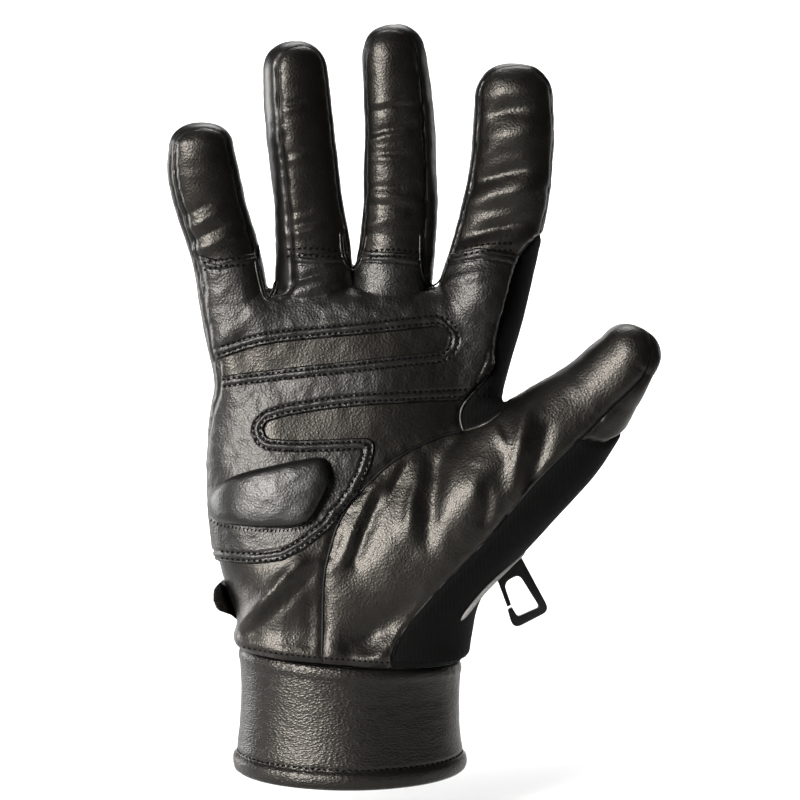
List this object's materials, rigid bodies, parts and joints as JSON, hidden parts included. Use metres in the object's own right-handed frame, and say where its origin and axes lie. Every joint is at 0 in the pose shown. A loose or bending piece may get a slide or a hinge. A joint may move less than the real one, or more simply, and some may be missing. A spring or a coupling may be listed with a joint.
{
  "type": "skating glove",
  "caption": "Right-hand black leather glove with a stitched palm reinforcement, padded heel, stretch thumb gusset, plain cuff and a snap hook.",
  "frame": {"origin": "middle of the wrist opening, level with the sides of the cuff's hem", "axes": "+Z from the wrist to the fingertips, palm faces -Y, thumb towards +X"},
  "size_m": [0.1497, 0.0509, 0.2342],
  "materials": {
    "palm_leather": "satin",
    "back_leather": "satin",
    "side_leather": "satin",
    "overlay_leather": "satin",
    "pad_leather": "satin",
    "cuff_leather": "satin",
    "strap_leather": "satin",
    "stretch_fabric": "matte",
    "light_piping": "satin",
    "webbing": "matte",
    "hook_plastic": "satin"
  },
  "bodies": {
    "root": {"palm_panel": "palm_leather", "back_panel": "back_leather", "fourchette_little_ring": "side_leather", "fourchette_ring_middle": "side_leather", "fourchette_middle_index": "side_leather", "index_gusset": "stretch_fabric", "thumb_panel": "palm_leather", "thumb_tip_back": "back_leather", "thumb_gusset": "stretch_fabric", "palm_reinforcement": "overlay_leather", "heel_pad": "pad_leather", "cuff_band": "cuff_leather", "wrist_strap": "strap_leather", "edge_piping": "light_piping", "hook_tape": "webbing", "snap_hook": "hook_plastic"}
  },
  "joints": []
}
